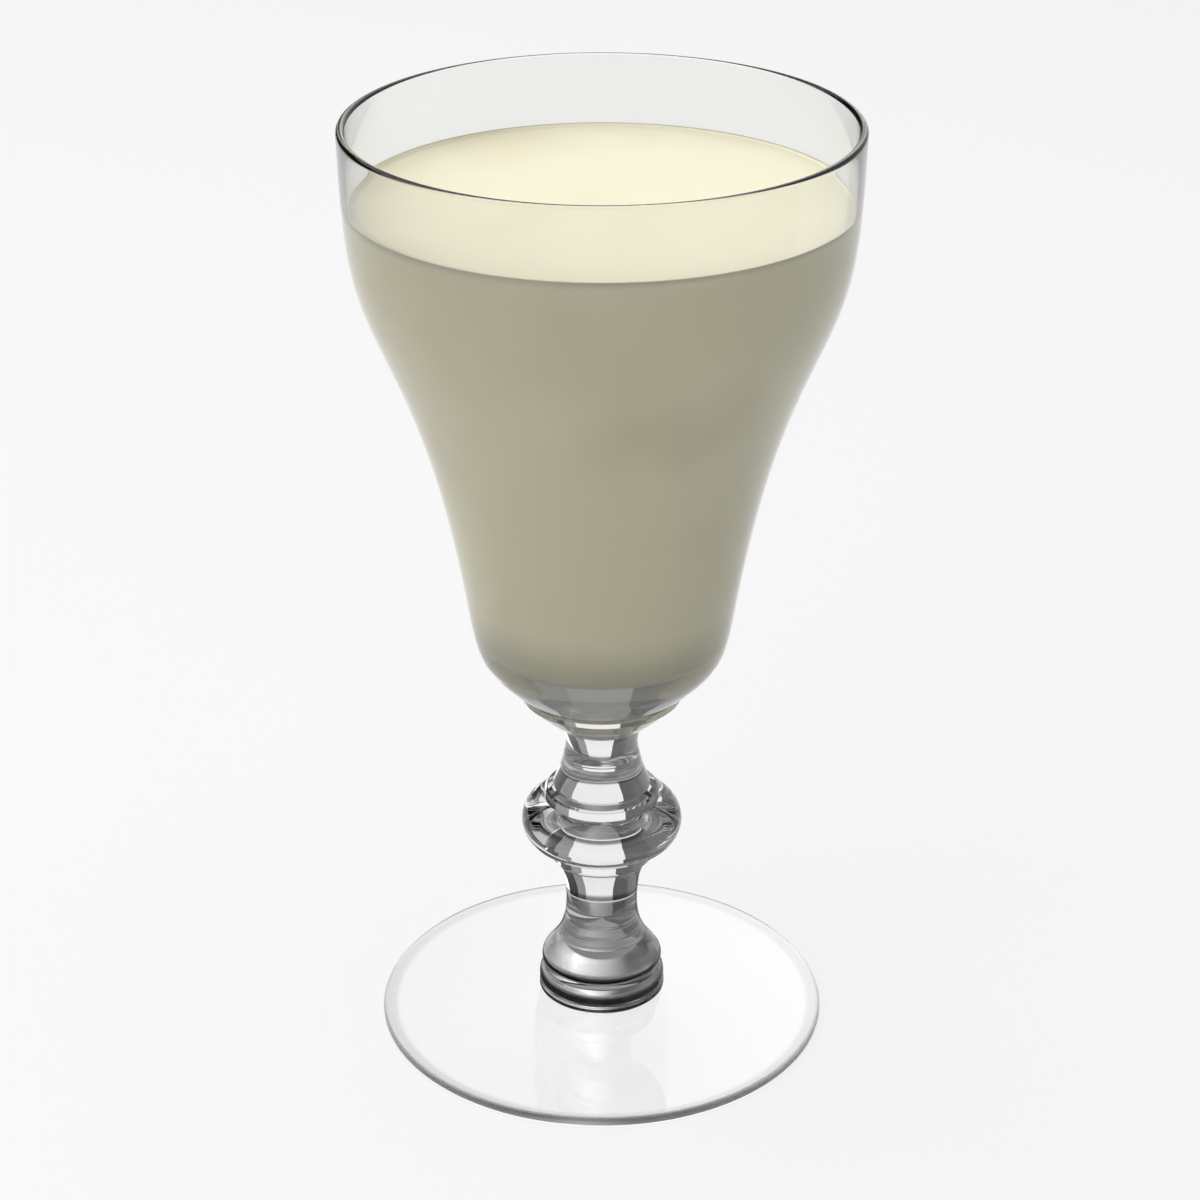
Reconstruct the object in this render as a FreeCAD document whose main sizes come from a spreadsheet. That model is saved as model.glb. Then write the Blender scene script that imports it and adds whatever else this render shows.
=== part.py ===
import FreeCAD, Part
import math
import os

import Sketcher
from FreeCAD import Vector

# A stemmed glass of eggnog, in millimetres. The glass is one blown and pressed piece: a flat round
# foot, two turned rings, a pear-shaped stem with a large ring knop, a collar and a tulip bowl. The
# eggnog fills the bowl up to a little below the lip. Both are turned about the Z axis. The origin
# is the centre of the foot's underside, and +Z points up.

DOCUMENT = "EggnogGlass"
SHEET = "Sizes"
STEP_FOLDER = "parts"
FULL_TURN = 360.0

# Each form stands on the one below it, so a height is measured from the foot of its own form.
# alias, value, what it measures
DIMENSIONS = (
    # Foot: a thin disc with a rounded edge, whose top rises in a shallow cone to the stem.
    ("foot_radius", 38.36, "outside radius of the foot"),
    ("foot_edge", 1.67, "thickness of the foot at its edge"),
    ("foot_rise", 4.2, "height of the foot where the stem stands on it"),
    # Base ring: the low ring that the stem stands on.
    ("base_ring_seat", 10.4, "radius of the base ring where it meets the foot"),
    ("base_ring_radius", 10.88, "largest radius of the base ring"),
    ("base_ring_lip", 0.3, "height at which the base ring reaches its largest radius"),
    ("base_ring_height", 1.3, "height of the base ring"),
    ("base_ring_rounding", 0.2, "rounding of the base ring's edges"),
    # Second ring: a fuller, half-round ring above it.
    ("second_ring_joint", 10.62, "radius of the crease between the two rings"),
    ("second_ring_height", 3.1, "height of the second ring"),
    ("second_ring_radius", 10.81, "radius of the second ring's round face half way up"),
    ("groove_radius", 10.1, "radius of the groove between the second ring and the bulb"),
    # Lower stem: a pear-shaped bulb that narrows to a waist and flares to a sharp edge.
    ("bulb_radius", 10.4, "radius that the bulb's belly swells towards"),
    ("bulb_height", 1.2, "height of that point of the bulb"),
    ("bulb_shoulder_radius", 10.63, "radius of the bulb's shoulder point"),
    ("bulb_shoulder_height", 2.55, "height of the bulb's shoulder point"),
    ("ankle_radius", 7.9, "radius of the point where the bulb turns into the stem"),
    ("ankle_height", 5.0, "height of that point"),
    ("waist_radius", 5.92, "radius of the lower waist point"),
    ("waist_height", 10.0, "height of the lower waist point"),
    ("upper_waist_radius", 6.15, "radius of the upper waist point"),
    ("upper_waist_drop", 6.0, "drop of the upper waist point below the flare's edge"),
    ("flare_lead_radius", 7.05, "radius of the point that leads into the flare's edge"),
    ("flare_lead_drop", 1.9, "drop of that point below the flare's edge"),
    ("flare_radius", 8.95, "radius of the flare's edge, under the knop"),
    ("lower_stem_height", 22.2, "height from the groove to the flare's edge"),
    # Knop: a fat ring with a circular section, on a short band.
    ("band_height", 1.4, "height of the band between the flare and the knop"),
    ("knop_neck_radius", 9.8, "radius where the knop's round section begins and ends"),
    ("knop_radius", 13.67, "largest radius of the knop"),
    ("knop_height", 8.7, "height from where its round section begins to where it ends"),
    ("knop_seat_height", 2.19, "height above the flare's edge where its round section begins"),
    # Step ring: a small ring on the knop, with a cove above it.
    ("step_ring_radius", 9.72, "radius of the step ring"),
    ("step_ring_height", 1.55, "height of the step ring's straight side"),
    ("step_ring_rounding", 0.25, "rounding of the step ring's upper edge"),
    ("cove_edge_radius", 9.3, "outer radius of the cove above the step ring"),
    ("cove_edge_drop", 0.75, "drop of the cove's outer edge below the edge of the skirt"),
    ("cove_radius", 8.05, "radius at the bottom of the cove"),
    ("cove_drop", 0.4, "drop of the bottom of the cove below the edge of the skirt"),
    ("step_height", 2.7, "height from the foot of the step ring to the edge of the skirt"),
    # Upper stem: a skirt that sweeps in to a neck below the collar.
    ("skirt_radius", 8.27, "radius of the skirt's edge"),
    ("skirt_sweep_radius", 7.22, "radius of the point that leads the skirt into the neck"),
    ("skirt_sweep_height", 2.3, "height of that point"),
    ("neck_radius", 6.25, "radius of the lower neck point"),
    ("neck_height", 5.9, "height of the lower neck point"),
    ("upper_neck_radius", 5.85, "radius of the upper neck point"),
    ("upper_neck_drop", 2.35, "drop of the upper neck point below the collar"),
    ("neck_top_radius", 6.9, "radius of the neck where it meets the collar"),
    ("upper_stem_height", 11.3, "height from the skirt's edge to the collar"),
    # Collar: a saucer-shaped ring that carries the bowl.
    ("collar_swell_radius", 8.6, "radius of the point that rounds the collar's underside"),
    ("collar_swell_height", 0.9, "height of that point"),
    ("collar_radius", 13.5, "radius of the collar's edge"),
    ("collar_edge", 0.9, "thickness of the collar at its edge"),
    ("collar_height", 6.5, "height of the collar"),
    # Bowl: a tulip that is slim below, flares to a shoulder and rises straight to the lip. Its base
    # is measured up from the collar, and the rest of its wall down from the lip.
    ("bowl_seat_radius", 13.4, "radius where the bowl leaves the collar"),
    ("bowl_base_radius", 18.97, "radius of the point that rounds the bowl's base"),
    ("bowl_base_height", 4.9, "height of that point"),
    ("bowl_turn_radius", 21.17, "radius of the point where the base turns up"),
    ("bowl_turn_height", 8.1, "height of that point"),
    ("lower_wall_radius", 22.53, "radius of the lower wall point"),
    ("lower_wall_height", 19.3, "height of the lower wall point"),
    ("middle_wall_radius", 26.83, "radius of the middle wall point"),
    ("middle_wall_drop", 57.0, "drop of the middle wall point below the lip"),
    ("flare_wall_radius", 33.07, "radius of the point half way up the bowl's flare"),
    ("flare_wall_drop", 39.5, "drop of that point below the lip"),
    ("shoulder_inset", 1.29, "how far the shoulder point lies inside the lip's radius"),
    ("shoulder_drop", 25.7, "drop of the shoulder point below the lip"),
    ("upper_wall_inset", 0.33, "how far the upper wall point lies inside the lip's radius"),
    ("upper_wall_drop", 14.5, "drop of the upper wall point below the lip"),
    ("rim_radius", 41.1, "outside radius of the bowl at its lip"),
    ("bowl_height", 97.7, "height of the bowl, from the collar to the lip"),
    ("lip_band", 1.7, "height of the straight band at the lip"),
    # Inside of the bowl.
    ("rim_wall", 1.35, "thickness of the bowl's wall at its lip"),
    ("wall", 1.1, "thickness of the bowl's wall, measured level"),
    ("floor_height", 8.0, "height of the inside's lowest point above the collar"),
    ("floor_radius", 14.0, "radius of the point that flattens the inside's floor"),
    ("corner_radius", 18.6, "radius of the point that rounds the inside's corner"),
    ("corner_rise", 2.4, "rise of that point above the floor"),
    # Eggnog.
    ("fill_drop", 12.1, "drop of the eggnog's surface below the lip"),
)

# Share of a wall's thickness that the rounding of each of its two edges takes: nearly half, so
# that the foot's edge and the lip are fully round.
FULL_ROUND = 0.47


class Size:
    """A length: its number in millimetres, and the formula that ties it to the sheet."""

    def __init__(self, number, formula):
        self.number = number
        self.formula = formula

    def __add__(self, other):
        return Size(self.number + other.number, f"{self.formula} + {other.formula}")

    def __sub__(self, other):
        return Size(self.number - other.number, f"{self.formula} - ({other.formula})")

    def __rmul__(self, factor):
        return Size(factor * self.number, f"{factor} * ({self.formula})")


ZERO = Size(0.0, "0")


class Sizes:
    """Every size of the sheet by its name."""

    def __init__(self, document):
        sheet = document.addObject("Spreadsheet::Sheet", SHEET)
        for row, (alias, value, meaning) in enumerate(DIMENSIONS, start=1):
            sheet.set(f"A{row}", meaning)
            sheet.set(f"B{row}", str(value))
            sheet.setAlias(f"B{row}", alias)
            setattr(self, alias, Size(value, f"{SHEET}.{alias}"))
        document.recompute()


class Outline:
    """One closed half section in a sketch, given point by point as radius and height."""

    def __init__(self, body, name, level):
        self.body = body
        self.name = name
        self.level = level
        self.corners = []

    def line(self, radius, height, rounding=None):
        """A straight side up to a corner, which may be rounded."""
        self.corners.append({"at": (radius, height), "side": "line", "rounding": rounding})

    def arc(self, radius, height, middle_radius):
        """A round side, given by the radius that it reaches half way up."""
        middle = (middle_radius, 0.5 * (self.corners[-1]["at"][1] + height))
        self.corners.append({"at": (radius, height), "side": "arc", "middle": middle})

    def curve(self, radius, height, *through):
        """A smooth side that is drawn towards each of some points on its way."""
        self.corners.append({"at": (radius, height), "side": "curve", "through": through})

    def sketch(self):
        """Makes the sketch on the body's XZ plane, lifted to its own level."""
        plane = next(part for part in self.body.Origin.OriginFeatures if part.Role == "XZ_Plane")
        sketch = self.body.newObject("Sketcher::SketchObject", f"{self.name}_outline")
        sketch.AttachmentSupport = [(plane, "")]
        sketch.MapMode = "FlatFace"
        sketch.AttachmentOffset = FreeCAD.Placement(Vector(0, self.level.number, 0), FreeCAD.Rotation())
        if self.level is not ZERO:
            sketch.setExpression(".AttachmentOffset.Base.y", self.level.formula)
        Drawing(sketch, self.corners).draw()
        return sketch


class Drawing:
    """Draws an outline's corners in its sketch and binds them to the sheet."""

    ORIGIN = (-1, 1)
    LEVEL_AXIS = -1
    TURNING_AXIS = -2
    START, END, CENTRE = 1, 2, 3

    def __init__(self, sketch, corners):
        self.sketch = sketch
        self.corners = corners
        self.points = [Vector(c["at"][0].number, c["at"][1].number, 0) for c in corners]

    def draw(self):
        count = len(self.corners)
        starts = [self.leaving(i) for i in range(count)]
        ends = [self.arriving(i) for i in range(count)]
        # side i runs from corner i-1 to corner i
        sides = [self.side(i, starts[i - 1], ends[i]) for i in range(count)]
        for i in range(count):
            before = sides[i]
            after = sides[(i + 1) % count]
            if self.corners[i].get("rounding"):
                self.round(i, before, after)
            else:
                self.join(before[2], after[1])
                self.pin(after[1], self.corners[i]["at"])

    def reach(self, i):
        """Distance from a rounded corner to where its rounding begins."""
        here = self.points[i]
        before = (self.points[i - 1] - here).normalize()
        after = (self.points[(i + 1) % len(self.points)] - here).normalize()
        half_angle = before.getAngle(after) / 2
        return self.corners[i]["rounding"].number / math.tan(half_angle), before, after

    def arriving(self, i):
        if not self.corners[i].get("rounding"):
            return self.points[i]
        distance, before, _ = self.reach(i)
        return self.points[i] + before * distance

    def leaving(self, i):
        if not self.corners[i].get("rounding"):
            return self.points[i]
        distance, _, after = self.reach(i)
        return self.points[i] + after * distance

    def side(self, i, start, end):
        """Adds one side and gives its number and its two ends, in the outline's direction."""
        corner = self.corners[i]
        if corner["side"] == "line":
            index = self.sketch.addGeometry(Part.LineSegment(start, end), False)
            return index, (index, self.START), (index, self.END)
        if corner["side"] == "arc":
            return self.bulge(start, end, corner["middle"])
        return self.spline(start, end, corner["through"])

    def arc_between(self, centre, start, end, leftwards):
        """Adds the arc between two points that turns left or right, and gives its ends in order."""
        first = math.atan2(start.y - centre.y, start.x - centre.x)
        last = math.atan2(end.y - centre.y, end.x - centre.x)
        circle = Part.Circle(centre, Vector(0, 0, 1), (start - centre).Length)
        if not leftwards:
            first, last = last, first
        index = self.sketch.addGeometry(Part.ArcOfCircle(circle, first, last), False)
        if leftwards:
            return index, (index, self.START), (index, self.END)
        return index, (index, self.END), (index, self.START)

    def bulge(self, start, end, middle):
        """Adds the arc through a middle point and holds that point on it."""
        radius, height = middle
        through = Vector(radius.number, height.number, 0)
        centre = Part.ArcOfCircle(start, through, end).Center
        leftwards = (through - start).cross(end - through).z > 0
        index, first, last = self.arc_between(centre, start, end, leftwards)
        point = self.sketch.addGeometry(Part.Point(through), True)
        self.sketch.addConstraint(Sketcher.Constraint("PointOnObject", point, self.START, index))
        self.pin((point, self.START), middle)
        return index, first, last

    def spline(self, start, end, through):
        """Adds a cubic curve that is drawn towards each of its points and starts and ends on two."""
        poles = [start] + [Vector(r.number, z.number, 0) for r, z in through] + [end]
        degree = min(3, len(poles) - 1)
        inner = len(poles) - degree - 1
        knots = [step / (inner + 1) for step in range(inner + 2)]
        ends = degree + 1
        repeats = [ends] + [1] * inner + [ends]
        curve = Part.BSplineCurve()
        curve.buildFromPolesMultsKnots(poles, repeats, knots, False, degree)
        rings = [self.sketch.addGeometry(Part.Circle(pole, Vector(0, 0, 1), 1.0), True) for pole in poles]
        self.sketch.addConstraint(Sketcher.Constraint("Weight", rings[0], 1.0))
        for ring in rings[1:]:
            self.sketch.addConstraint(Sketcher.Constraint("Equal", rings[0], ring))
        index = self.sketch.addGeometry(curve, False)
        for number, ring in enumerate(rings):
            role = "InternalAlignment:Sketcher::BSplineControlPoint"
            self.sketch.addConstraint(Sketcher.Constraint(role, ring, self.CENTRE, index, number))
        for ring, at in zip(rings[1:-1], through):
            self.pin((ring, self.CENTRE), at)
        return index, (index, self.START), (index, self.END)

    def round(self, i, before, after):
        """Rounds a corner between two straight sides and keeps the corner as a point."""
        rounding = self.corners[i]["rounding"]
        distance, towards_before, towards_after = self.reach(i)
        bisector = (towards_before + towards_after).normalize()
        to_centre = math.hypot(distance, rounding.number)
        here = self.points[i]
        centre = here + bisector * to_centre
        start, end = self.arriving(i), self.leaving(i)
        leftwards = (start - centre).cross(end - centre).z > 0
        index, first, last = self.arc_between(centre, start, end, leftwards)
        self.sketch.addConstraint(Sketcher.Constraint("Tangent", *before[2], *first))
        self.sketch.addConstraint(Sketcher.Constraint("Tangent", *last, *after[1]))
        self.measure("Radius", (index,), rounding)
        point = self.sketch.addGeometry(Part.Point(here), True)
        self.sketch.addConstraint(Sketcher.Constraint("PointOnObject", point, self.START, before[0]))
        self.sketch.addConstraint(Sketcher.Constraint("PointOnObject", point, self.START, after[0]))
        self.pin((point, self.START), self.corners[i]["at"])

    def join(self, one, other):
        self.sketch.addConstraint(Sketcher.Constraint("Coincident", *one, *other))

    def pin(self, end, at):
        """Holds a point at its radius and height."""
        radius, height = at
        if radius is ZERO:
            self.sketch.addConstraint(Sketcher.Constraint("PointOnObject", *end, self.TURNING_AXIS))
        else:
            self.measure("DistanceX", (*self.ORIGIN, *end), radius)
        if height is ZERO:
            self.sketch.addConstraint(Sketcher.Constraint("PointOnObject", *end, self.LEVEL_AXIS))
        else:
            self.measure("DistanceY", (*self.ORIGIN, *end), height)

    def measure(self, kind, where, size):
        """Adds a dimension that follows the sheet."""
        index = self.sketch.addConstraint(Sketcher.Constraint(kind, *where, size.number))
        self.sketch.setExpression(f"Constraints[{index}]", size.formula)


def turn(outline, kind="PartDesign::Revolution"):
    """Turns an outline about the Z axis: into a solid, or as a cut."""
    sketch = outline.sketch()
    feature = outline.body.newObject(kind, outline.name)
    feature.Profile = sketch
    feature.ReferenceAxis = (sketch, ["V_Axis"])
    feature.Angle = FULL_TURN
    sketch.Visibility = False
    return feature


def draw_foot(body, mm):
    outline = Outline(body, "foot", ZERO)
    edge = FULL_ROUND * mm.foot_edge
    outline.line(ZERO, ZERO)
    outline.line(mm.foot_radius, ZERO, edge)
    outline.line(mm.foot_radius, mm.foot_edge, edge)
    outline.line(mm.base_ring_seat, mm.foot_rise)
    outline.line(ZERO, mm.foot_rise)
    return turn(outline)


def draw_rings(body, mm, level):
    outline = Outline(body, "rings", level)
    rounding = mm.base_ring_rounding
    top = mm.base_ring_height + mm.second_ring_height
    outline.line(ZERO, ZERO)
    outline.line(mm.base_ring_seat, ZERO)
    outline.line(mm.base_ring_radius, mm.base_ring_lip, rounding)
    outline.line(mm.base_ring_radius, mm.base_ring_height - mm.base_ring_lip, rounding)
    outline.line(mm.second_ring_joint, mm.base_ring_height)
    outline.arc(mm.groove_radius, top, mm.second_ring_radius)
    outline.line(ZERO, top)
    return turn(outline)


def draw_lower_stem(body, mm, level):
    outline = Outline(body, "lower_stem", level)
    outline.line(ZERO, ZERO)
    outline.line(mm.groove_radius, ZERO)
    outline.curve(
        mm.flare_radius, mm.lower_stem_height,
        (mm.bulb_radius, mm.bulb_height),
        (mm.bulb_shoulder_radius, mm.bulb_shoulder_height),
        (mm.ankle_radius, mm.ankle_height),
        (mm.waist_radius, mm.waist_height),
        (mm.upper_waist_radius, mm.lower_stem_height - mm.upper_waist_drop),
        (mm.flare_lead_radius, mm.lower_stem_height - mm.flare_lead_drop),
    )
    outline.line(ZERO, mm.lower_stem_height)
    return turn(outline)


def draw_knop(body, mm, level):
    outline = Outline(body, "knop", level)
    top = mm.knop_seat_height + mm.knop_height
    outline.line(ZERO, ZERO)
    outline.line(mm.flare_radius, ZERO)
    outline.line(mm.flare_radius, mm.band_height)
    outline.line(mm.knop_neck_radius, mm.knop_seat_height)
    outline.arc(mm.knop_neck_radius, top, mm.knop_radius)
    outline.line(ZERO, top)
    return turn(outline)


def draw_step_ring(body, mm, level):
    outline = Outline(body, "step_ring", level)
    outline.line(ZERO, ZERO)
    outline.line(mm.step_ring_radius, ZERO)
    outline.line(mm.step_ring_radius, mm.step_ring_height, mm.step_ring_rounding)
    outline.line(mm.cove_edge_radius, mm.step_height - mm.cove_edge_drop)
    outline.line(mm.cove_radius, mm.step_height - mm.cove_drop)
    outline.line(mm.skirt_radius, mm.step_height)
    outline.line(ZERO, mm.step_height)
    return turn(outline)


def draw_upper_stem(body, mm, level):
    outline = Outline(body, "upper_stem", level)
    outline.line(ZERO, ZERO)
    outline.line(mm.skirt_radius, ZERO)
    outline.curve(
        mm.neck_top_radius, mm.upper_stem_height,
        (mm.skirt_sweep_radius, mm.skirt_sweep_height),
        (mm.neck_radius, mm.neck_height),
        (mm.upper_neck_radius, mm.upper_stem_height - mm.upper_neck_drop),
    )
    outline.line(ZERO, mm.upper_stem_height)
    return turn(outline)


def draw_collar(body, mm, level):
    outline = Outline(body, "collar", level)
    outline.line(ZERO, ZERO)
    outline.line(mm.neck_top_radius, ZERO)
    outline.curve(
        mm.collar_radius, mm.collar_height - mm.collar_edge,
        (mm.collar_swell_radius, mm.collar_swell_height),
    )
    outline.line(mm.bowl_seat_radius, mm.collar_height)
    outline.line(ZERO, mm.collar_height)
    return turn(outline)


def wall_points(mm):
    """The points that shape the bowl's outside above its base, from the lowest to the highest."""
    return (
        (mm.lower_wall_radius, mm.lower_wall_height),
        (mm.middle_wall_radius, mm.bowl_height - mm.middle_wall_drop),
        (mm.flare_wall_radius, mm.bowl_height - mm.flare_wall_drop),
        (mm.rim_radius - mm.shoulder_inset, mm.bowl_height - mm.shoulder_drop),
        (mm.rim_radius - mm.upper_wall_inset, mm.bowl_height - mm.upper_wall_drop),
    )


def inside_curve(outline, mm):
    """The bowl's inside, from the lip's band down the wall and along the floor to the middle."""
    outline.curve(
        ZERO, mm.floor_height,
        *[(radius - mm.wall, height) for radius, height in reversed(wall_points(mm))],
        (mm.corner_radius, mm.floor_height + mm.corner_rise),
        (mm.floor_radius, mm.floor_height),
    )


def draw_bowl(body, mm, level):
    outline = Outline(body, "bowl", level)
    lip = FULL_ROUND * mm.rim_wall
    band_foot = mm.bowl_height - mm.lip_band
    inside_radius = mm.rim_radius - mm.rim_wall
    outline.line(ZERO, ZERO)
    outline.line(mm.bowl_seat_radius, ZERO)
    outline.curve(
        mm.rim_radius, band_foot,
        (mm.bowl_base_radius, mm.bowl_base_height),
        (mm.bowl_turn_radius, mm.bowl_turn_height),
        *wall_points(mm),
    )
    outline.line(mm.rim_radius, mm.bowl_height, lip)
    outline.line(inside_radius, mm.bowl_height, lip)
    outline.line(inside_radius, band_foot)
    inside_curve(outline, mm)
    return turn(outline)


def make_glass(document, mm):
    """The glass, turned form by form from the foot up into one solid."""
    body = document.addObject("PartDesign::Body", "glass")
    body.Label = "glass"
    level = mm.foot_rise
    draw_foot(body, mm)
    draw_rings(body, mm, level)
    level = level + mm.base_ring_height + mm.second_ring_height
    draw_lower_stem(body, mm, level)
    level = level + mm.lower_stem_height
    draw_knop(body, mm, level)
    level = level + mm.knop_seat_height + mm.knop_height
    draw_step_ring(body, mm, level)
    level = level + mm.step_height
    draw_upper_stem(body, mm, level)
    level = level + mm.upper_stem_height
    draw_collar(body, mm, level)
    level = level + mm.collar_height
    draw_bowl(body, mm, level)
    return body, level


def make_eggnog(document, mm, level):
    """The eggnog: the bowl's whole inside, less what is above its surface."""
    body = document.addObject("PartDesign::Body", "eggnog")
    body.Label = "eggnog"
    band_foot = mm.bowl_height - mm.lip_band
    surface = mm.bowl_height - mm.fill_drop
    inside_radius = mm.rim_radius - mm.rim_wall
    inside = Outline(body, "inside", level)
    inside.line(ZERO, band_foot)
    inside.line(inside_radius, band_foot)
    inside_curve(inside, mm)
    turn(inside)
    above = Outline(body, "above_surface", level)
    above.line(ZERO, surface)
    above.line(mm.rim_radius, surface)
    above.line(mm.rim_radius, mm.bowl_height)
    above.line(ZERO, mm.bowl_height)
    turn(above, "PartDesign::Groove")
    return body


def check(document, bodies):
    """Stops if any object failed, or a body is not one valid solid."""
    for item in document.Objects:
        if "Invalid" in item.State or "Error" in item.State:
            raise RuntimeError(f"{item.Name} did not build: {item.State}")
    for body in bodies:
        shape = body.Shape
        if shape.isNull() or not shape.isValid() or len(shape.Solids) != 1:
            raise RuntimeError(f"{body.Label} is not one valid solid")


def main():
    document = FreeCAD.newDocument(DOCUMENT)
    mm = Sizes(document)
    glass, bowl_level = make_glass(document, mm)
    eggnog = make_eggnog(document, mm, bowl_level)
    document.recompute()
    bodies = (glass, eggnog)
    check(document, bodies)
    os.makedirs(STEP_FOLDER, exist_ok=True)
    for body in bodies:
        shape = body.Shape
        shape.exportStep(os.path.join(STEP_FOLDER, f"{body.Label}.step"))
        box = shape.BoundBox
        print(f"{body.Label}: {shape.Volume:.0f} mm3, up to {box.ZMax:.2f} mm, radius {box.XMax:.2f} mm")


main()
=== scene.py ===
import math
from collections import namedtuple

import bmesh
import bpy
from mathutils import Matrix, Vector


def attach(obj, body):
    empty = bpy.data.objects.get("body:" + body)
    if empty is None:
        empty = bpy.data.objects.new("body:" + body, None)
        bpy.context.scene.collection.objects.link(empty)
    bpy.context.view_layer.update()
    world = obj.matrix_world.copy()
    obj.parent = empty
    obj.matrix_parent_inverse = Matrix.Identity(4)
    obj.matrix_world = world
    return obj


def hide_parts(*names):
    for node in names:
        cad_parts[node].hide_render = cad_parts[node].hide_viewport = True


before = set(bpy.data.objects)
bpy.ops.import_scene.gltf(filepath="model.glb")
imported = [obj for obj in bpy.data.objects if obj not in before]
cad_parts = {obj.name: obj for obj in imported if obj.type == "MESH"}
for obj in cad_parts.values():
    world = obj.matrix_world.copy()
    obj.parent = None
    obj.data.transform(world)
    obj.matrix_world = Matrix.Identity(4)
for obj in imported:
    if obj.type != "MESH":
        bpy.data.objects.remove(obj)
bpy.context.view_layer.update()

MM = 0.001
BODY = "root"

# Turned forms
SAME_POINT = 1e-7           # points this near each other are one
ON_AXIS = 1e-6              # a point this near the axis lies on it
TURN_STEPS = 184            # steps round the axis
CORNER_ANGLE = math.radians(18)   # a sharper turn of the outline is a corner
CORNER_ROUNDING = 0.12 * MM
CORNER_SHARE = 0.4          # most of the step on each side of a corner that its round takes up
CORNER_STEPS = 4
OUTLINE_STEP = 1.6 * MM     # longest step along a smooth stretch of the outline
OUTLINE_TURN = math.radians(5)    # and the most that it turns in one step
WALL_OVERLAP = 0.15 * MM    # how far the eggnog reaches into the glass
SAME_LEVEL = 0.01 * MM      # points this near the level belong to the surface
MENISCUS_WIDTH = 1.6 * MM
MENISCUS_RISE = 0.35 * MM
MENISCUS_STEPS = 8
SURFACE_RINGS = (0.92, 0.8, 0.6, 0.4, 0.2)   # shares of the surface's radius

# Glass. It is slightly grey. It is ground in the middle of the foot's underside, and scuffed near
# the edge there, where it stands. A noise is a scale, in waves a metre, and a detail.
GLASS_TINT = (0.92, 0.923, 0.92)
REFRACTIVE_INDEX = 1.5
GLASS_WAVES = (90.0, 1.0)   # a noise
GLASS_WAVE_DEPTH = 0.01 * MM
UNDERSIDE = 0.05 * MM       # the glass below this height is the foot's underside
GROUND_RADII = (10 * MM, 12 * MM)
GROUND_SHARE = 0.25         # roughness there, as a share of the scuffed part's
SCUFF_RADII = (34.5 * MM, 37 * MM)
SCUFF_ROUGHNESS = 0.5

# Eggnog
EGGNOG = (0.90, 0.86, 0.64)
SPICED = (0.79, 0.73, 0.52)
SPICE_CLOUDS = (28.0, 2.0)  # a noise
SPICE_RANGE = (0.45, 0.8)   # values of the noise between which the spice sets in
# Painted shade: the drink is darker at the bottom of the bowl
SHADED_BOTTOM_EGGNOG = (0.50, 0.475, 0.34)
SHADED_BOTTOM_HEIGHTS = (70 * MM, 82 * MM)      # heights between which that gives way to the rest of the drink
GRAIN = (350.0, 3.0)        # a noise
GRAIN_DEPTH = 0.02 * MM
SMOOTHEST = 0.35            # roughness where the grain is 0
GRAIN_ROUGHNESS = 0.2       # and what a grain of 1 adds to it

# Camera
LENS = 92.32                # mm, for a sensor 36 mm wide
SENSOR = 36.0
CAMERA_DISTANCE = 460.2 * MM
CAMERA_HEIGHT = 297.7 * MM
CAMERA_PITCH = math.radians(25.479)
CAMERA_ASIDE = -0.3 * MM

# Floor and background. A share of the floor is lit by the lamps, which shows the shadow, and the
# rest glows. Both together look like the background.
FLOOR_SIZE = 6.0
FLOOR_DROP = 0.05 * MM      # the floor lies this far below the foot
FLOOR_ALBEDO = 0.85
FLOOR_LIT = 0.2
FLOOR_GLOW = 0.96
BACKGROUND = 0.93
HORIZON = (0.05, 0.2)       # heights on the sky between which it gives way to the ceiling
ROOM_LIGHT = 0.2            # brightness of the sky where it lights things
UNDER_FOOT = 38 * MM        # the floor this near the axis lies under the foot
UNDER_FOOT_GLOW = 0.27      # how much brighter it looks, with the light that the foot gathers
FOOT_SURFACES = 2           # a ray through more surfaces than the foot's went through the stem too

# Lamps
AIM = Vector((0, 0, 80 * MM))     # half way up the glass
LAMP_DISTANCE = 1.4

# name, azimuth, elevation, width, height, brightness, seen in reflections
SOFTBOXES = (
    ("top_softbox", 0, 85, 1.3, 1.3, 1.75, True),
    ("left_softbox", -95, 45, 1.2, 1.2, 1.3, True),
    ("front_softbox", -143, 38, 1.2, 1.2, 1.4, False),
    ("low_softbox", -136, 14, 1.2, 0.8, 1.0, False),
    ("right_softbox", 100, 40, 1.0, 1.0, 0.3, False),
    ("back_softbox", -45, 50, 1.0, 1.0, 1.0, True),
)

# What the glass sees round it, as where glass is photographed: dark flags and pale cards, by
# sector. Azimuth 0 points away from the camera and grows to the right. A sector runs to the next.
# card: brightness of the card round the stem
# ceiling: of the sky overhead
# inside: of the floor, after a reflection in the glass, and under the foot to rays through the stem,
# where it is a painted shadow of the stem
# reflected: of the sky that the glass reflects, which changes evenly between two azimuths
Sector = namedtuple("Sector", "azimuth card ceiling inside reflected")
SECTORS = (
    Sector(-180, 0.4, 0.3, 0.25, 0.15),
    Sector(-160, 0.08, 0.2, 0.03, 0.2),
    Sector(-60, 0.14, 0.16, 0.1, 0.05),
    Sector(-30, 0.1, 0.13, 0.03, 0.05),
    Sector(-12, 0.95, 0.28, 0.28, 0.05),
    Sector(12, 0.95, 0.22, 0.12, 1.7),
    Sector(16, 0.3, 0.22, 0.08, 1.0),
    Sector(28, 0.05, 0.13, 0.02, 0.5),
    Sector(48, 1.9, 0.9, 0.6, 0.4),
    Sector(88, 0.5, 0.5, 0.05, 1.3),
    Sector(110, 0.25, 0.7, 0.15, 0.6),
    Sector(150, 0.4, 0.3, 0.03, 0.3),
)

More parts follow.
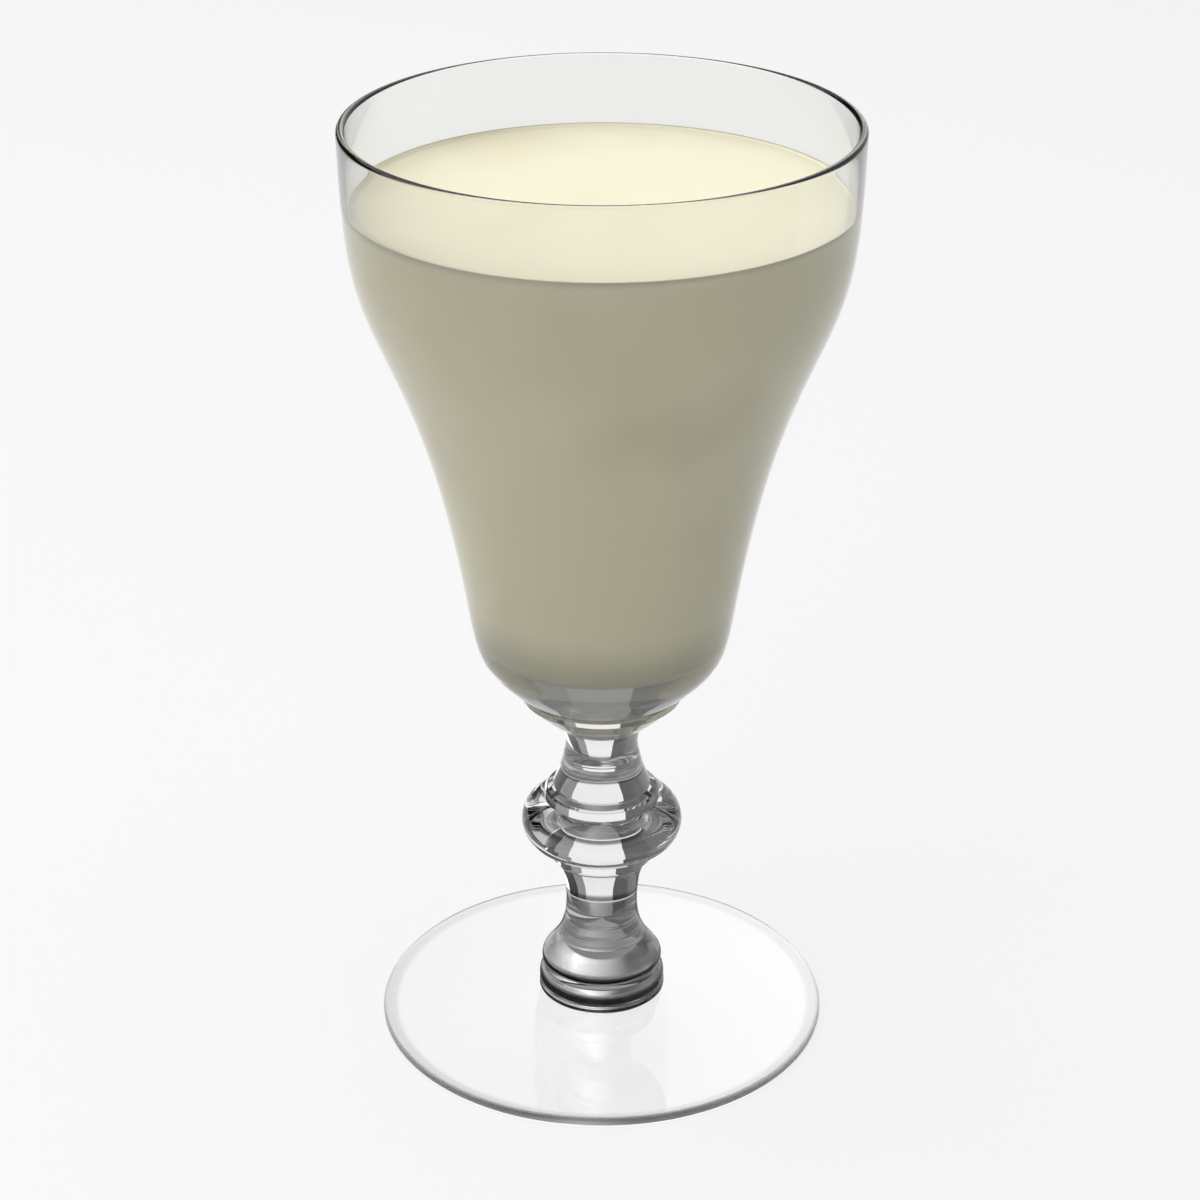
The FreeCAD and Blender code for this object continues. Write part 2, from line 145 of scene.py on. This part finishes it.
# Card: a flat ring round the foot, with a wall at its outer edge
CARD_HOLE = 42 * MM
CARD_RADIUS = 70 * MM
CARD_HEIGHT = 62 * MM
CARD_LIFT = 0.02 * MM       # how far the ring lies above the foot's underside
CARD_STEPS = 72
CARD_INNER = 0.25           # share of its brightness that the ring has at its hole
CARD_FADE = (47 * MM, 57 * MM)    # radii between which that grows to the whole

# Numbers of a Mix node's sockets for colours
MIX_ONE, MIX_OTHER, MIX_RESULT = 6, 7, 2


def add_object(name, data):
    """A new object in the scene."""
    thing = bpy.data.objects.new(name, data)
    bpy.context.scene.collection.objects.link(thing)
    return thing


# Outlines and turned pieces

def cut_edges(mesh):
    """The edges of a closed mesh's cut through the XZ plane."""
    for normal in ((1, 0, 0), (0, 1, 0)):    # the first cut gives the second its points on the axis
        everything = mesh.verts[:] + mesh.edges[:] + mesh.faces[:]
        cut = bmesh.ops.bisect_plane(
            mesh, geom=everything, dist=SAME_POINT, plane_co=(0, 0, 0), plane_no=normal
        )["geom_cut"]
    return [part for part in cut if isinstance(part, bmesh.types.BMEdge)]


def half_section(node):
    """The half section of a turned CAD node: (radius, height) points from the axis to the axis."""
    mesh = bmesh.new()
    mesh.from_mesh(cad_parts[node].data)
    bmesh.ops.remove_doubles(mesh, verts=mesh.verts[:], dist=SAME_POINT)
    neighbours = {}
    for edge in cut_edges(mesh):
        one, other = edge.verts
        if min(one.co.x, other.co.x) > -ON_AXIS:
            neighbours.setdefault(one, []).append(other)
            neighbours.setdefault(other, []).append(one)
    on_axis = [vertex for vertex in neighbours if abs(vertex.co.x) < ON_AXIS]
    path = [min(on_axis, key=lambda vertex: vertex.co.z)]
    before = None
    while before is None or path[-1] not in on_axis:
        onward = [vertex for vertex in neighbours[path[-1]] if vertex is not before]
        before = path[-1]
        path.append(onward[0])
    points = [Vector((vertex.co.x, vertex.co.z)) for vertex in path]
    mesh.free()
    return points


def turn_at(points, i):
    """How much the outline turns at a point, as an angle with no sign."""
    return (points[i] - points[i - 1]).angle(points[i + 1] - points[i])


def smooth_stretch(points):
    """A denser curve, cubic from point to point, through the points of one smooth stretch."""
    if len(points) == 2:
        return points
    dense = []
    for i in range(len(points) - 1):
        p1, p2 = points[i], points[i + 1]
        p0 = points[i - 1] if i > 0 else p1 * 2 - p2
        p3 = points[i + 2] if i + 2 < len(points) else p2 * 2 - p1
        span = (p2 - p1).length
        slope1 = (p2 - p0) * (span / ((p1 - p0).length + span))
        slope2 = (p3 - p1) * (span / ((p3 - p2).length + span))
        turning = slope1.angle(slope2, 0.0)
        steps = max(1, math.ceil(span / OUTLINE_STEP), math.ceil(turning / OUTLINE_TURN))
        for step in range(steps):
            t = step / steps
            dense.append(
                p1 * (2 * t**3 - 3 * t**2 + 1) + p2 * (3 * t**2 - 2 * t**3)
                + slope1 * (t**3 - 2 * t**2 + t) + slope2 * (t**3 - t**2)
            )
    dense.append(points[-1])
    return dense


def softened_corner(before, corner, after):
    """A small round in place of a corner."""
    back = before - corner
    ahead = after - corner
    reach = min(CORNER_ROUNDING, CORNER_SHARE * back.length, CORNER_SHARE * ahead.length)
    start = corner + back.normalized() * reach
    end = corner + ahead.normalized() * reach
    points = []
    for step in range(CORNER_STEPS + 1):
        t = step / CORNER_STEPS
        points.append(start * (1 - t) ** 2 + corner * (2 * t * (1 - t)) + end * t**2)
    return points


def refined(points):
    """The outline with denser smooth stretches and slightly rounded corners."""
    last = len(points) - 1
    corners = [0] + [i for i in range(1, last) if turn_at(points, i) > CORNER_ANGLE] + [last]
    stretches = [smooth_stretch(points[a:b + 1]) for a, b in zip(corners, corners[1:])]
    outline = [stretches[0][0]]
    for stretch, following in zip(stretches, stretches[1:]):
        outline += stretch[1:-1]
        outline += softened_corner(stretch[-2], stretch[-1], following[1])
    outline += stretches[-1][1:]
    return outline


def eggnog_outline(points):
    """The drink's outline, let into the wall and a little higher where it wets the wall."""
    level = points[-1].y
    edge = min(i for i, p in enumerate(points) if p.y > level - SAME_LEVEL)
    wall = []
    for i in range(edge + 1):
        ahead = points[min(i + 1, edge)]
        behind = points[max(i - 1, 0)]
        along = (ahead - behind).normalized()
        outwards = Vector((along.y, -along.x))
        wall.append(points[i] + outwards * WALL_OVERLAP)
    wall[0].x = 0.0
    wall = smooth_stretch(wall)
    top_radius = wall[-1].x
    meniscus = []
    for step in range(MENISCUS_STEPS + 1):
        t = step / MENISCUS_STEPS
        height = level + MENISCUS_RISE * (1 - t) ** 3
        meniscus.append(Vector((top_radius - t * MENISCUS_WIDTH, height)))
    flat = [Vector((share * top_radius, level)) for share in SURFACE_RINGS]
    return wall[:-1] + meniscus + flat + [Vector((0.0, level))]


def turned(name, outline):
    """A closed piece turned about Z from an outline whose first and last points lie on the axis."""
    mesh = bmesh.new()
    angles = [2 * math.pi * step / TURN_STEPS for step in range(TURN_STEPS)]
    first = mesh.verts.new((0, 0, outline[0].y))
    last = mesh.verts.new((0, 0, outline[-1].y))
    rings = []
    for radius, height in outline[1:-1]:
        ring = [(radius * math.cos(angle), radius * math.sin(angle), height) for angle in angles]
        rings.append([mesh.verts.new(point) for point in ring])
    for step in range(TURN_STEPS):
        onward = (step + 1) % TURN_STEPS
        mesh.faces.new((first, rings[0][onward], rings[0][step]))
        mesh.faces.new((last, rings[-1][step], rings[-1][onward]))
        for low, high in zip(rings, rings[1:]):
            mesh.faces.new((low[step], low[onward], high[onward], high[step]))
    bmesh.ops.recalc_face_normals(mesh, faces=mesh.faces[:])
    for face in mesh.faces:
        face.smooth = True
    data = bpy.data.meshes.new(name)
    mesh.to_mesh(data)
    mesh.free()
    return add_object(name, data)


# Shader nodes

def new_material(name):
    """A material with nodes, and its tree."""
    material = bpy.data.materials.new(name)
    material.use_nodes = True
    return material, material.node_tree


def feed(tree, value, socket):
    """Gives a socket a number, a colour or what another node puts out."""
    if isinstance(value, bpy.types.NodeSocket):
        tree.links.new(value, socket)
    elif isinstance(value, tuple):
        socket.default_value = (*value, 1)
    else:
        socket.default_value = value


def grey(brightness):
    """The colour of a grey."""
    return (brightness, brightness, brightness)


def math_node(tree, operation, *values):
    """The result of a Math node."""
    node = tree.nodes.new("ShaderNodeMath")
    node.operation = operation
    for value, socket in zip(values, node.inputs):
        feed(tree, value, socket)
    return node.outputs[0]


def parts(tree, vector):
    """The X, Y and Z of a vector."""
    node = tree.nodes.new("ShaderNodeSeparateXYZ")
    feed(tree, vector, node.inputs[0])
    return node.outputs


def axis_distance(tree, place):
    """How far a place lies from the Z axis."""
    x, y, _ = parts(tree, place)
    squares = [math_node(tree, "MULTIPLY", side, side) for side in (x, y)]
    return math_node(tree, "SQRT", math_node(tree, "ADD", *squares))


def smooth_step(tree, value, low, high):
    """0 below one value and 1 above the other, with an even change between them."""
    node = tree.nodes.new("ShaderNodeMapRange")
    node.interpolation_type = "SMOOTHSTEP"
    feed(tree, value, node.inputs["Value"])
    feed(tree, low, node.inputs["From Min"])
    feed(tree, high, node.inputs["From Max"])
    return node.outputs["Result"]


def noise(tree, place, scale, detail):
    """Cloudy noise with a mean of about a half; the scale is in waves a metre."""
    node = tree.nodes.new("ShaderNodeTexNoise")
    feed(tree, place, node.inputs["Vector"])
    feed(tree, scale, node.inputs["Scale"])
    feed(tree, detail, node.inputs["Detail"])
    return node.outputs["Fac"]


def uneven(tree, shader, height, depth):
    """A little unevenness of the surface, as deep as the last value."""
    bump = tree.nodes.new("ShaderNodeBump")
    feed(tree, 1.0, bump.inputs["Strength"])
    feed(tree, depth, bump.inputs["Distance"])
    feed(tree, height, bump.inputs["Height"])
    feed(tree, bump.outputs["Normal"], shader.inputs["Normal"])


def mixed_colour(tree, factor, one, other):
    """One colour where the factor is 0 and the other where it is 1."""
    mix = tree.nodes.new("ShaderNodeMix")
    mix.data_type = "RGBA"
    feed(tree, factor, mix.inputs["Factor"])
    feed(tree, one, mix.inputs[MIX_ONE])
    feed(tree, other, mix.inputs[MIX_OTHER])
    return mix.outputs[MIX_RESULT]


def mixed_shader(tree, factor, one, other):
    """One shader where the factor is 0 and the other where it is 1."""
    mix = tree.nodes.new("ShaderNodeMixShader")
    for value, socket in zip((factor, one, other), mix.inputs):
        feed(tree, value, socket)
    return mix.outputs[0]


def emission(tree, colour, strength):
    """A surface that glows."""
    glow = tree.nodes.new("ShaderNodeEmission")
    feed(tree, colour, glow.inputs["Color"])
    feed(tree, strength, glow.inputs["Strength"])
    return glow.outputs[0]


def ray(tree, question):
    """What a Light Path node says of the ray that comes here."""
    return tree.nodes.new("ShaderNodeLightPath").outputs[question]


def none_of(tree, count):
    """1 where a count is 0, else 0."""
    return math_node(tree, "LESS_THAN", count, 0.5)


def more_than(tree, count, limit):
    """1 where a count is more than a whole number, else 0."""
    return math_node(tree, "GREATER_THAN", count, limit + 0.5)


def pale_to_the_eye(tree):
    """1 for rays from the camera and through or off glass, 0 for the light that falls on things."""
    seen = math_node(tree, "MAXIMUM", ray(tree, "Is Camera Ray"), ray(tree, "Is Glossy Ray"))
    seen = math_node(tree, "MAXIMUM", seen, ray(tree, "Is Transmission Ray"))
    return math_node(tree, "MULTIPLY", seen, none_of(tree, ray(tree, "Diffuse Depth")))


def by_sector(tree, place, column):
    """The brightness of a place or a direction, by its azimuth round the glass."""
    x, y, _ = parts(tree, place)
    azimuth = math_node(tree, "ARCTAN2", x, y)
    turn = math_node(tree, "MULTIPLY_ADD", azimuth, 0.5 / math.pi, 0.5)    # 0 to 1 from -180 degrees
    bands = tree.nodes.new("ShaderNodeValToRGB")
    feed(tree, turn, bands.inputs["Fac"])
    ramp = bands.color_ramp
    ramp.interpolation = "LINEAR" if column == "reflected" else "CONSTANT"
    while len(ramp.elements) < len(SECTORS):
        ramp.elements.new(1.0)
    for element, sector in zip(ramp.elements, SECTORS):
        element.position = sector.azimuth / 360 + 0.5
        element.color = (*grey(getattr(sector, column)), 1)
    return bands.outputs["Color"]


# The glass's and the eggnog's materials

def clear_glass():
    """Clear glass, ground and scuffed on the foot's underside."""
    material, tree = new_material("clear_glass")
    shader = tree.nodes["Principled BSDF"]
    feed(tree, GLASS_TINT, shader.inputs["Base Color"])
    feed(tree, REFRACTIVE_INDEX, shader.inputs["IOR"])
    feed(tree, 1.0, shader.inputs["Transmission Weight"])
    place = tree.nodes.new("ShaderNodeTexCoord").outputs["Object"]
    radius = axis_distance(tree, place)
    _, _, height = parts(tree, place)
    scuffed = smooth_step(tree, radius, *SCUFF_RADII)
    ground = math_node(tree, "SUBTRACT", 1.0, smooth_step(tree, radius, *GROUND_RADII))
    dull = math_node(tree, "MULTIPLY_ADD", ground, GROUND_SHARE, scuffed)
    dull = math_node(tree, "MULTIPLY", dull, math_node(tree, "LESS_THAN", height, UNDERSIDE))
    feed(tree, math_node(tree, "MULTIPLY", dull, SCUFF_ROUGHNESS), shader.inputs["Roughness"])
    uneven(tree, shader, noise(tree, place, *GLASS_WAVES), GLASS_WAVE_DEPTH)
    return material


def eggnog_drink():
    """Thick pale eggnog with faint clouds of spice, and painted shade that makes it darker at the
    bottom of the bowl.
    """
    material, tree = new_material("eggnog")
    shader = tree.nodes["Principled BSDF"]
    place = tree.nodes.new("ShaderNodeTexCoord").outputs["Object"]
    _, _, height = parts(tree, place)
    clouds = smooth_step(tree, noise(tree, place, *SPICE_CLOUDS), *SPICE_RANGE)
    colour = mixed_colour(tree, clouds, EGGNOG, SPICED)
    # painted shade: darker at the bottom of the drink
    colour = mixed_colour(tree, smooth_step(tree, height, *SHADED_BOTTOM_HEIGHTS), SHADED_BOTTOM_EGGNOG, colour)
    feed(tree, colour, shader.inputs["Base Color"])
    grain = noise(tree, place, *GRAIN)
    roughness = math_node(tree, "MULTIPLY_ADD", grain, GRAIN_ROUGHNESS, SMOOTHEST)
    feed(tree, roughness, shader.inputs["Roughness"])
    uneven(tree, shader, grain, GRAIN_DEPTH)
    return material


# The studio

def floor_glow(tree):
    """The floor's look: plain, brighter under the foot, and by sector to rays from in the glass;
    under the foot, to rays through the stem, it is darker by sector, a painted shadow of the stem.
    """
    place = tree.nodes.new("ShaderNodeTexCoord").outputs["Object"]
    under_foot = math_node(tree, "LESS_THAN", axis_distance(tree, place), UNDER_FOOT)
    plain = math_node(tree, "MULTIPLY_ADD", under_foot, UNDER_FOOT_GLOW, FLOOR_GLOW)
    surfaces = ray(tree, "Transmission Depth")
    # painted shadow of the stem: to rays through the stem, the floor under the foot takes the darker
    # brightness by sector
    through_stem = math_node(tree, "MINIMUM", under_foot, more_than(tree, surfaces, FOOT_SURFACES))
    both = math_node(tree, "MINIMUM", surfaces, ray(tree, "Glossy Depth"))
    inside = math_node(tree, "MAXIMUM", more_than(tree, both, 0), through_stem)
    return mixed_colour(tree, inside, plain, by_sector(tree, place, "inside"))


def floor_material():
    """A pale floor that shows the shadow."""
    material, tree = new_material("floor")
    lit = tree.nodes["Principled BSDF"]
    feed(tree, grey(FLOOR_ALBEDO), lit.inputs["Base Color"])
    feed(tree, 1.0, lit.inputs["Roughness"])
    feed(tree, 0.0, lit.inputs["Specular IOR Level"])
    share = math_node(tree, "MULTIPLY", pale_to_the_eye(tree), 1 - FLOOR_LIT)
    surface = mixed_shader(tree, share, lit.outputs[0], emission(tree, floor_glow(tree), 1.0))
    feed(tree, surface, tree.nodes["Material Output"].inputs["Surface"])
    return material


def add_floor():
    """A square floor just under the foot."""
    half = FLOOR_SIZE / 2
    corners = [(-half, -half, 0), (half, -half, 0), (half, half, 0), (-half, half, 0)]
    mesh = bpy.data.meshes.new("floor")
    mesh.from_pydata(corners, [], [(0, 1, 2, 3)])
    mesh.materials.append(floor_material())
    floor = add_object("floor", mesh)
    floor.location.z = -FLOOR_DROP


def card_mesh():
    """The ring and the wall of the card."""
    profile = ((CARD_HOLE, CARD_LIFT), (CARD_RADIUS, CARD_LIFT), (CARD_RADIUS, CARD_HEIGHT))
    points = []
    for radius, height in profile:
        for step in range(CARD_STEPS + 1):
            azimuth = 2 * math.pi * step / CARD_STEPS
            points.append((radius * math.sin(azimuth), radius * math.cos(azimuth), height))
    row = CARD_STEPS + 1
    faces = []
    for ring in range(len(profile) - 1):
        for step in range(CARD_STEPS):
            corner = ring * row + step
            faces.append((corner, corner + 1, corner + row + 1, corner + row))
    mesh = bpy.data.meshes.new("card")
    mesh.from_pydata(points, [], faces)
    return mesh


def card_material():
    """A glow by sector for what is seen through the glass, and clear to all other rays."""
    material, tree = new_material("card")
    tree.nodes.remove(tree.nodes["Principled BSDF"])
    place = tree.nodes.new("ShaderNodeTexCoord").outputs["Object"]
    outer = smooth_step(tree, axis_distance(tree, place), *CARD_FADE)
    strength = math_node(tree, "MULTIPLY_ADD", outer, 1 - CARD_INNER, CARD_INNER)
    glow = emission(tree, by_sector(tree, place, "card"), strength)
    clear = tree.nodes.new("ShaderNodeBsdfTransparent").outputs[0]
    not_reflected = none_of(tree, ray(tree, "Glossy Depth"))
    seen = math_node(tree, "MULTIPLY", pale_to_the_eye(tree), not_reflected)
    surface = mixed_shader(tree, seen, clear, glow)
    feed(tree, surface, tree.nodes["Material Output"].inputs["Surface"])
    return material


def add_card():
    """A card round the stem that only glass shows, for the stem's dark and light lines."""
    mesh = card_mesh()
    mesh.materials.append(card_material())
    card = add_object("card", mesh)
    card.visible_camera = False
    card.visible_diffuse = False
    card.visible_glossy = False
    card.visible_shadow = False


def direction(azimuth, elevation):
    """Unit vector; azimuth 0 points away from the camera and grows to the right."""
    a, e = math.radians(azimuth), math.radians(elevation)
    return Vector((math.cos(e) * math.sin(a), math.cos(e) * math.cos(a), math.sin(e)))


def add_softbox(name, azimuth, elevation, width, height, brightness, reflected):
    """An area lamp that faces the glass; brightness 1 looks white."""
    light = bpy.data.lights.new(name, "AREA")
    light.shape = "RECTANGLE"
    light.size = width
    light.size_y = height
    light.energy = brightness * math.pi * width * height
    lamp = add_object(name, light)
    towards = direction(azimuth, elevation)
    lamp.location = AIM + towards * LAMP_DISTANCE
    lamp.rotation_euler = towards.to_track_quat("Z", "Y").to_euler()
    lamp.visible_camera = False
    lamp.visible_transmission = False
    lamp.visible_glossy = reflected


def add_surroundings():
    """Weak light all round; to the eye and in glass a pale background with a darker ceiling."""
    world = bpy.data.worlds.new("studio")
    bpy.context.scene.world = world
    world.use_nodes = True
    tree = world.node_tree
    towards = tree.nodes.new("ShaderNodeTexCoord").outputs["Generated"]
    _, _, height = parts(tree, towards)
    overhead = smooth_step(tree, height, *HORIZON)
    sky = mixed_colour(tree, overhead, grey(BACKGROUND), by_sector(tree, towards, "ceiling"))
    reflected = more_than(tree, ray(tree, "Glossy Depth"), 0)
    sky = mixed_colour(tree, reflected, sky, by_sector(tree, towards, "reflected"))
    backdrop = tree.nodes["Background"]
    feed(tree, sky, backdrop.inputs["Color"])
    room = tree.nodes.new("ShaderNodeBackground")
    feed(tree, grey(ROOM_LIGHT), room.inputs["Color"])
    light = mixed_shader(tree, pale_to_the_eye(tree), room.outputs[0], backdrop.outputs[0])
    feed(tree, light, tree.nodes["World Output"].inputs["Surface"])


def add_camera():
    """A camera in front of the glass that looks down at it."""
    data = bpy.data.cameras.new("camera")
    data.lens = LENS
    data.sensor_width = SENSOR
    camera = add_object("camera", data)
    camera.location = (CAMERA_ASIDE, -CAMERA_DISTANCE, CAMERA_HEIGHT)
    camera.rotation_euler = (math.pi / 2 - CAMERA_PITCH, 0, 0)
    bpy.context.scene.camera = camera


glass = turned("glass_turned", refined(half_section("glass")))
glass.data.materials.append(clear_glass())
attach(glass, BODY)
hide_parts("glass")
glass.visible_shadow = False    # light goes through it

eggnog = turned("eggnog_filling", eggnog_outline(half_section("eggnog")))
eggnog.data.materials.append(eggnog_drink())
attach(eggnog, BODY)
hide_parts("eggnog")

add_floor()
for softbox in SOFTBOXES:
    add_softbox(*softbox)
add_card()
add_camera()
add_surroundings()

bpy.context.scene.view_settings.view_transform = "Standard"
